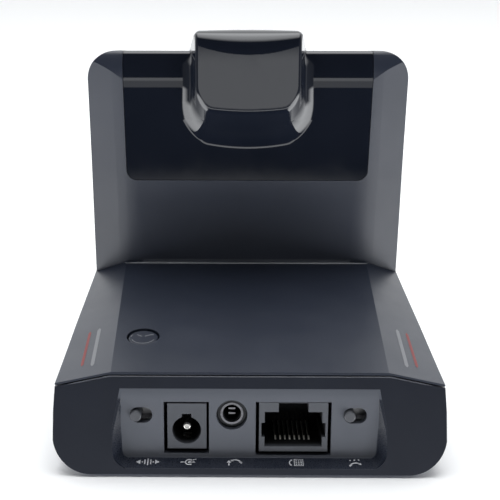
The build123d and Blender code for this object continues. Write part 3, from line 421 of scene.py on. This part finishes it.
def build_bezel():
    OY, OZ = -66.0, 74.0
    W = 30.16
    rc = 2.46
    xs = []
    x = 0.0
    while x < W - 1e-6:
        xs.append(x)
        if x < 8.5:
            x += 0.5
        elif x < 11.5:
            x += 0.2
        elif x < 17.4:
            x += 0.09
        elif x < 26:
            x += 0.8
        elif x < 27.6:
            x += 0.4
        else:
            x += 0.16
    xs.append(W)
    xs = np.array([-v for v in xs[:0:-1]] + xs)
    NA = 300
    ax = np.abs(xs)
    z0 = np.where(ax > W - rc, 53.74 + rc - np.sqrt(np.maximum(0, rc * rc - (ax - (W - rc)) ** 2)), 53.74)
    y0 = BB[0] + 0.186 * (z0 - BB[1])
    th0 = np.arctan2(z0 - OZ, y0 - OY)
    t = np.clip((14.75 - ax) / 0.5, 0, 1)
    t = t * t * (3 - 2 * t)
    th1 = math.radians(53.9) + t * math.radians(59.3 - 53.9)
    k = np.linspace(0, 1, NA)
    TH = th0[:, None] + (th1 - th0)[:, None] * k[None, :]
    X = np.repeat(xs[:, None], NA, 1)
    lo = np.full_like(TH, 4.0)
    hi = np.full_like(TH, 34.0)
    c, sn = np.cos(TH), np.sin(TH)
    for _ in range(26):
        mid = (lo + hi) / 2
        f = d_all(X, OY + mid * c, OZ + mid * sn)
        lo = np.where(f < 0, mid, lo)
        hi = np.where(f < 0, hi, mid)
    R = (lo + hi) / 2
    Y, Z = OY + R * c, OZ + R * sn
    e = 0.002
    gx = d_all(X + e, Y, Z) - d_all(X - e, Y, Z)
    gy = d_all(X, Y + e, Z) - d_all(X, Y - e, Z)
    gz = d_all(X, Y, Z + e) - d_all(X, Y, Z - e)
    g = np.stack([gx, gy, gz], -1)
    g /= np.maximum(1e-12, np.linalg.norm(g, axis=-1, keepdims=True))
    M = len(xs)
    P = np.stack([X * MM, Y * MM + YS, Z * MM + ZS], -1)
    verts = [tuple(p) for p in P.reshape(-1, 3)]
    faces = []
    for i in range(M - 1):
        for j in range(NA - 1):
            a = i * NA + j
            faces.append((a, a + 1, a + NA + 1, a + NA))
    n_out = len(verts)
    # inner skin, coarser, and the rim between the two
    T = 0.75
    si = list(range(0, M, 4))
    if si[-1] != M - 1:
        si.append(M - 1)
    sj = list(range(0, NA, 4))
    if sj[-1] != NA - 1:
        sj.append(NA - 1)
    IP = np.stack([(X - g[..., 0] * T) * MM, (Y - g[..., 1] * T) * MM + YS, (Z - g[..., 2] * T) * MM + ZS], -1)
    base_i = len(verts)
    for i in si:
        for j in sj:
            verts.append(tuple(IP[i, j]))
    nj = len(sj)
    for a in range(len(si) - 1):
        for b in range(nj - 1):
            v = base_i + a * nj + b
            faces.append((v, v + nj, v + nj + 1, v + 1))

    def strip(seq):
        b0 = len(verts)
        for (i, j) in seq:
            verts.append(tuple(P[i, j]))
            verts.append(tuple(IP[i, j]))
        for q in range(len(seq) - 1):
            faces.append((b0 + 2 * q, b0 + 2 * q + 1, b0 + 2 * q + 3, b0 + 2 * q + 2))
    strip([(i, 0) for i in range(M)])
    strip([(M - 1, j) for j in range(NA)])
    strip([(i, NA - 1) for i in range(M - 1, -1, -1)])
    strip([(0, j) for j in range(NA - 1, -1, -1)])
    o = add_mesh("rear_bezel_gloss", verts, faces, MAT["gloss"], replaces=["rear_bezel"])
    me = o.data
    bm = bmesh.new()
    bm.from_mesh(me)
    bm.faces.ensure_lookup_table()
    bm.normal_update()
    # outer skin faces away from the inside
    f0 = bm.faces[(M // 2) * (NA - 1) + 20]
    if f0.normal.y < 0:
        for f in bm.faces:
            f.normal_flip()
    bm.to_mesh(me)
    bm.free()
    for p in me.polygons:
        p.use_smooth = True
    # exact normals on the outer skin
    G = g.reshape(-1, 3)
    vn = [Vector(v.normal) for v in me.vertices]
    for i in range(n_out):
        vn[i] = Vector(G[i])
    me.normals_split_custom_set_from_vertices([tuple(v) for v in vn])
    return o


# second finish of the same black: the bulge is a little more polished than the flat insert
def gloss_bezel_material():
    m, nt, b = new_mat("piano_black_rear")
    v = obj_coords(nt)
    nt.links.new(ramp(nt, noise(nt, v, 80.0, 3.0), [(0.3, (0.0055, 0.0075, 0.0130)), (0.7, (0.0068, 0.0088, 0.0150))]), b.inputs["Base Color"])
    nt.links.new(maprange(nt, noise(nt, v, 220.0, 5.0, 0.6), 0.3, 0.75, 0.025, 0.075), b.inputs["Roughness"])
    nt.links.new(bump(nt, noise(nt, v, 260.0, 2.0), 0.02, 0.00002), b.inputs["Normal"])
    b.inputs["Specular IOR Level"].default_value = 0.5
    return m


MAT["gloss_rear"] = gloss_bezel_material()
bezel = build_bezel()
bezel.data.materials[0] = MAT["gloss_rear"]


# ------------------------------------------------------------------ printed pictograms on the sill
def ink(name, col):
    m, nt, b = new_mat(name)
    v = obj_coords(nt)
    nt.links.new(ramp(nt, noise(nt, v, 9000.0, 3.0), [(0.3, tuple(c * 0.82 for c in col)), (0.6, col)]), b.inputs["Base Color"])
    nt.links.new(maprange(nt, noise(nt, v, 5000.0), 0.3, 0.7, 0.45, 0.65), b.inputs["Roughness"])
    nt.links.new(bump(nt, noise(nt, v, 12000.0), 0.3, 0.00001), b.inputs["Normal"])
    return m


MAT["ink_white"] = ink("ink_light", (0.62, 0.63, 0.66))
MAT["ink_grey"] = ink("ink_grey", (0.18, 0.185, 0.20))
MAT["ink_red"] = ink("ink_red", (0.19, 0.014, 0.014))


class Flat:
    "thin printed shapes laid on a surface: u to the viewer's right, v away from the viewer"

    def __init__(self, put):
        self.put, self.v, self.f = put, [], []

    def poly(self, pts):
        b = len(self.v)
        self.v += [self.put(u, w) for u, w in pts]
        self.f.append(tuple(range(b, b + len(pts))))

    def line(self, pts, w, closed=False):
        n = len(pts)
        L, Rr = [], []
        for i in range(n):
            p = pts[i]
            a = pts[(i - 1) % n] if (closed or i > 0) else p
            c = pts[(i + 1) % n] if (closed or i < n - 1) else p
            dx, dy = c[0] - a[0], c[1] - a[1]
            q = math.hypot(dx, dy) or 1
            nx, ny = -dy / q * w / 2, dx / q * w / 2
            L.append((p[0] + nx, p[1] + ny))
            Rr.append((p[0] - nx, p[1] - ny))
        m = n if closed else n - 1
        for i in range(m):
            j = (i + 1) % n
            self.poly([L[i], L[j], Rr[j], Rr[i]])

    def disc(self, u, w, r, n=20):
        self.poly([(u + r * math.cos(2 * math.pi * i / n), w + r * math.sin(2 * math.pi * i / n)) for i in range(n)])

    def arc(self, u, w, r, a0, a1, width, n=18):
        self.line([(u + r * math.cos(math.radians(a0 + (a1 - a0) * i / n)), w + r * math.sin(math.radians(a0 + (a1 - a0) * i / n))) for i in range(n + 1)], width)


def handset(F, u, w, s, flip=1, ang=0.0):
    "a plain telephone handset: an arc with two caps"
    ca, sa = math.cos(ang), math.sin(ang)

    def T(a, b):
        a, b = a * s * flip, b * s
        return (u + a * ca - b * sa, w + a * sa + b * ca)
    pts = [T(-1.0 + 2.0 * i / 16, 0.42 * (1 - (-1 + 2.0 * i / 16) ** 2)) for i in range(17)]
    F.line(pts, 0.30 * s)
    for e in (-1, 1):
        F.poly([T(e * 1.22, 0.10), T(e * 0.72, 0.32), T(e * 0.62, -0.10), T(e * 1.12, -0.36)])


def sill_put(x0):
    def put(u, w):
        y = -2.15 - w
        z = 2.2 - 0.261 * (y + 3.75)
        return row(x0 - u, y, z + 0.022)
    return put


F1 = Flat(sill_put(21.2))
for sg in (-1, 1):
    F1.poly([(sg * 2.45, 0.0), (sg * 1.55, 0.62), (sg * 1.55, -0.62)][::sg])
    F1.disc(sg * 1.15, 0.0, 0.17)
    F1.line([(sg * 0.62, -0.72), (sg * 0.62, 0.72)], 0.24)
F1.line([(0, -1.0), (0, 1.0)], 0.24)
F2 = Flat(sill_put(12.65))
F2.arc(0.1, 0.0, 0.78, 50, 310, 0.27)
F2.disc(0.15, 0.0, 0.34)
F2.line([(0.15, 0.0), (1.35, 0.0)], 0.22)
F2.line([(-1.75, 0.0), (-0.68, 0.0)], 0.22)
F2.line([(0.75, 0.62), (1.6, 0.95)], 0.22)
F3 = Flat(sill_put(3.1))
handset(F3, 0.42, 0.25, 1.05, 1, -0.32)
F3.line([(-1.15, -1.0), (-1.15, -0.05)], 0.26)
F3.poly([(-1.62, -0.1), (-0.68, -0.1), (-1.15, 0.62)])
F4 = Flat(sill_put(-9.75))
handset(F4, -1.05, 0.0, 0.78, 1, 1.45)
F4.line([(-0.35, -0.95), (1.45, -0.95), (1.45, 0.95), (-0.35, 0.95)], 0.2, closed=True)
for i in range(3):
    for j in range(3):
        F4.poly([(-0.08 + i * 0.5, -0.66 + j * 0.5), (0.2 + i * 0.5, -0.66 + j * 0.5), (0.2 + i * 0.5, -0.36 + j * 0.5), (-0.08 + i * 0.5, -0.36 + j * 0.5)])
F5 = Flat(sill_put(-22.0))
handset(F5, 0.0, -0.55, 1.1, 1, 0.22)
F5.disc(-0.9, 0.75, 0.2)
F5.disc(0.0, 0.8, 0.2)
F5.disc(0.9, 0.85, 0.2)
for i, F in enumerate((F1, F2, F3, F4, F5)):
    add_mesh("sill_pictogram_%d" % (i + 1), F.v, F.f, MAT["ink_white"], smooth=False)


# pictogram of the pairing button: plain ring segment and two waves, pressed with the button
def button_put(u, w):
    y = -19.7 - w * 0.98
    z = 20.6 + 0.2024 * (-y - 4.8) - 0.3 + 0.035
    return row(23.42 - u, y, z)


FB = Flat(button_put)
FB.arc(0, 0, 2.55, 200, 340, 0.20)
FB.line([(-1.5, 1.35), (-0.35, 0.55)], 0.28)
FB.line([(0.35, 0.6), (1.0, 1.0), (1.5, 1.25), (2.2, 1.3)], 0.26)
FB.arc(0, 0, 2.75, 150, 172, 0.18)
add_mesh("pairing_pictogram", FB.v, FB.f, MAT["ink_grey"], body="pairing_button", smooth=False)


# plain two-tone stripe on each shoulder of the foot, in place of any print
from mathutils.bvhtree import BVHTree

top_me = NODES["top_shell"].data
bvh = BVHTree.FromPolygons([v.co.copy() for v in top_me.vertices], [tuple(p.vertices) for p in top_me.polygons])


def on_top(x, y):
    p = Vector(row(x, y, 60.0))
    h = bvh.ray_cast(p, Vector((0, 0, -1)))
    q = h[0]
    return (q.x, q.y, q.z + 0.00003)


def stripe(name, pts, w, mat):
    "rounded bar that follows the surface"
    F = Flat(lambda u, v: on_top(u, v))
    (x0, y0), (x1, y1) = pts
    n = 22
    L = math.hypot(x1 - x0, y1 - y0)
    ux, uy = (x1 - x0) / L, (y1 - y0) / L
    rows = []
    for i in range(n + 1):
        t = i / n * L
        e = min(t, L - t)
        hw = w / 2 if e > w / 2 else math.sqrt(max(0.0004, (w / 2) ** 2 - (w / 2 - e) ** 2))
        cx, cy = x0 + ux * t, y0 + uy * t
        rows.append(((cx - uy * hw, cy + ux * hw), (cx + uy * hw, cy - ux * hw)))
    for a, b in zip(rows, rows[1:]):
        F.poly([a[0], b[0], b[1], a[1]])
    return add_mesh(name, F.v, F.f, mat, smooth=True)


for sg, nm in ((1, "left"), (-1, "right")):
    stripe("shoulder_stripe_grey_" + nm, [(sg * 33.3, -8.6), (sg * 33.9, -25.5)], 0.8, MAT["ink_grey"])
    stripe("shoulder_stripe_red_" + nm, [(sg * 35.6, -9.4), (sg * 36.0, -25.0)], 0.6, MAT["ink_red"])


# ------------------------------------------------------------------ painted highlights: bright beads along the crease and the seam
# painted highlight: a bright bead along the crease stands in for light on its fillet
MAT["edge"] = plastic("crease_painted_highlight", (0.34, 0.35, 0.38), (0.40, 0.41, 0.44), rough=(0.2, 0.32), grain=2500.0, grain_depth=0.00001, grain_strength=0.2)

# painted highlight: dimmer beads along both rounded edges of the seam
MAT["edge_dim"] = plastic("seam_painted_highlight", (0.070, 0.074, 0.088), (0.095, 0.100, 0.118), rough=(0.2, 0.32), grain=2500.0, grain_depth=0.00001, grain_strength=0.2)


def bead(name, pts, r, mat):
    "thin round bead through the points, six-sided"
    P = [Vector(p) for p in pts]
    verts, faces = [], []
    n = 8
    for i, p in enumerate(P):
        t = (P[min(i + 1, len(P) - 1)] - P[max(i - 1, 0)]).normalized()
        a = t.cross(Vector((0, 0, 1))).normalized()
        b = t.cross(a).normalized()
        e = min(1.0, 0.15 + 0.85 * min(i, len(P) - 1 - i) / 12.0)
        for k in range(n):
            q = 2 * math.pi * k / n
            verts.append(p + (a * math.cos(q) + b * math.sin(q)) * r * e)
    for i in range(len(P) - 1):
        for k in range(n):
            j = (k + 1) % n
            faces.append((i * n + k, i * n + j, (i + 1) * n + j, (i + 1) * n + k))
    faces.append(tuple(range(n))[::-1])
    faces.append(tuple((len(P) - 1) * n + k for k in range(n)))
    return add_mesh(name, verts, faces, mat)


def horizontal_hit(tree, x, z):
    h = tree.ray_cast(Vector(row(x, 20.0, z)), Vector((0, -1, 0)))[0]
    return None if h is None else (h.y - YS) / MM


crease = []
for i in range(-128, 129):
    x = i * 0.25
    best = None
    for j in range(110):
        z = 26.5 + j * 0.08
        y = horizontal_hit(bvh, x, z)
        if y is not None and (best is None or y < best[1] - 0.002):
            best = (x, y, z)
    crease.append(best)
z_crease = min(c[2] for c in crease)
line = [(x, horizontal_hit(bvh, x, z_crease)) for x, _, _ in crease]
bead("crease_highlight_bead", [row(x, y + 0.06, z_crease + 0.05) for x, y in line], 0.17 * MM, MAT["edge"])

base_me = NODES["base_shell"].data
base_bvh = BVHTree.FromPolygons([v.co.copy() for v in base_me.vertices], [tuple(p.vertices) for p in base_me.polygons])
lower, upper = [], []
for i in range(-156, 157):
    x = i * 0.25
    lo = hi = None
    for j in range(160):
        z = 13.0 + j * 0.06
        y = horizontal_hit(base_bvh, x, z)
        if y is not None and y > -7.5:
            lo = (x, y, z)
    for j in range(160):
        z = 23.0 - j * 0.06
        y = horizontal_hit(bvh, x, z)
        if y is not None and y > -7.5:
            hi = (x, y, z)
    if lo:
        lower.append(lo)
    if hi:
        upper.append(hi)
if len(lower) > 100:
    bead("seam_highlight_bead_lower", [row(x, y - 0.05, z - 0.05) for x, y, z in lower], 0.13 * MM, MAT["edge_dim"])
if len(upper) > 100:
    bead("seam_highlight_bead_upper", [row(x, y - 0.05, z + 0.10) for x, y, z in upper], 0.11 * MM, MAT["edge_dim"])


# ------------------------------------------------------------------ stage and light
def make_floor():
    bm = bmesh.new()
    n = 24
    prof = [(6.0, 0.0), (3.0, 0.0), (1.0, 0.0), (0.0, 0.0), (-2.0, 0.0)]
    R = 1.2
    for i in range(1, n + 1):
        a = math.pi / 2 * i / n
        prof.append((-2.0 - R * math.sin(a), R - R * math.cos(a)))
    prof.append((-3.2, 6.0))
    rows = []
    for (y, z) in prof:
        rows.append([bm.verts.new((x, y, z)) for x in (-8.0, -2.0, 0.0, 2.0, 8.0)])
    for a, b in zip(rows, rows[1:]):
        for i in range(4):
            bm.faces.new((a[i], a[i + 1], b[i + 1], b[i]))
    bmesh.ops.recalc_face_normals(bm, faces=bm.faces)
    me = bpy.data.meshes.new("floor")
    bm.to_mesh(me)
    bm.free()
    for p in me.polygons:
        p.use_smooth = True
    o = bpy.data.objects.new("floor", me)
    scene.collection.objects.link(o)
    m, nt, b = new_mat("floor_paper")
    v = obj_coords(nt)
    nt.links.new(ramp(nt, noise(nt, v, 3.0, 2.0), [(0.0, (0.93, 0.93, 0.93)), (1.0, (0.95, 0.95, 0.95))]), b.inputs["Base Color"])
    b.inputs["Roughness"].default_value = 0.9
    b.inputs["Specular IOR Level"].default_value = 0.1
    me.materials.append(m)
    # the studio round the table lights the object; the paper only shows
    o.visible_glossy = False
    o.visible_diffuse = False
    o.visible_shadow = False
    o.visible_transmission = False
    return o


make_floor()

world = bpy.data.worlds.new("studio")
scene.world = world
world.use_nodes = True
wn = world.node_tree
for n in list(wn.nodes):
    wn.nodes.remove(n)


def wmath(op, a, b=None, c=None):
    n = wn.nodes.new("ShaderNodeMath")
    n.operation = op
    for i, v in enumerate((a, b, c)):
        if v is None:
            continue
        if isinstance(v, (int, float)):
            n.inputs[i].default_value = v
        else:
            wn.links.new(v, n.inputs[i])
    return n.outputs[0]


def wsmooth(v, a, b):
    n = wn.nodes.new("ShaderNodeMapRange")
    n.interpolation_type = "SMOOTHSTEP"
    n.inputs["From Min"].default_value = a
    n.inputs["From Max"].default_value = b
    wn.links.new(v, n.inputs["Value"])
    return n.outputs["Result"]


wtc = wn.nodes.new("ShaderNodeTexCoord")
wsep = wn.nodes.new("ShaderNodeSeparateXYZ")
wn.links.new(wtc.outputs["Generated"], wsep.inputs[0])
WX, WY, WZ = wsep.outputs


def window(v, a0, a1, b0, b1):
    return wmath("MULTIPLY", wsmooth(v, a0, a1), wmath("SUBTRACT", 1.0, wsmooth(v, b0, b1)))


# a dark room behind the viewer, white paper under and beside the object, a white sweep in front of it
SIDE = wsmooth(wmath("ABSOLUTE", WX), 0.36, 0.56)
BACK = wsmooth(WY, 0.15, -0.35)
LOWSIDE = wmath("SUBTRACT", 1.0, wsmooth(WZ, -0.36, -0.24))
NEAR = window(WZ, -0.66, -0.58, -0.53, -0.47)
FAR = window(WZ, -0.36, -0.33, -0.13, -0.09)
LINE = window(WZ, -0.13, -0.09, -0.015, 0.01)
TOP = wsmooth(WZ, 0.84, 1.0)

SIDE_L = 6.2
front = wmath("MULTIPLY_ADD", FAR, 0.95, 0.03)
front = wmath("MULTIPLY_ADD", LINE, 1.9, front)
front = wmath("MULTIPLY_ADD", NEAR, 3.0, front)
side = wmath("MULTIPLY_ADD", LOWSIDE, SIDE_L - 0.2, 0.2)
side = wmath("MULTIPLY", side, wmath("MULTIPLY_ADD", WX, -0.12, 1.0))
mixv = wn.nodes.new("ShaderNodeMix")
mixv.data_type = "FLOAT"
wn.links.new(SIDE, mixv.inputs[0])
wn.links.new(front, mixv.inputs[2])
wn.links.new(side, mixv.inputs[3])
mixb = wn.nodes.new("ShaderNodeMix")
mixb.data_type = "FLOAT"
wn.links.new(BACK, mixb.inputs[0])
wn.links.new(mixv.outputs[0], mixb.inputs[2])
mixb.inputs[3].default_value = 1.7
total = wmath("MULTIPLY_ADD", TOP, 4.5, mixb.outputs[0])

wo = wn.nodes.new("ShaderNodeOutputWorld")
wb = wn.nodes.new("ShaderNodeBackground")
wb.inputs["Color"].default_value = (0.97, 0.985, 1.0, 1)
wn.links.new(total, wb.inputs["Strength"])
wc = wn.nodes.new("ShaderNodeBackground")
wc.inputs["Color"].default_value = (1.0, 1.0, 1.0, 1)
wc.inputs["Strength"].default_value = 1.0
wl = wn.nodes.new("ShaderNodeLightPath")
wm = wn.nodes.new("ShaderNodeMixShader")
wn.links.new(wl.outputs["Is Camera Ray"], wm.inputs["Fac"])
wn.links.new(wb.outputs["Background"], wm.inputs[1])
wn.links.new(wc.outputs["Background"], wm.inputs[2])
wn.links.new(wm.outputs["Shader"], wo.inputs["Surface"])
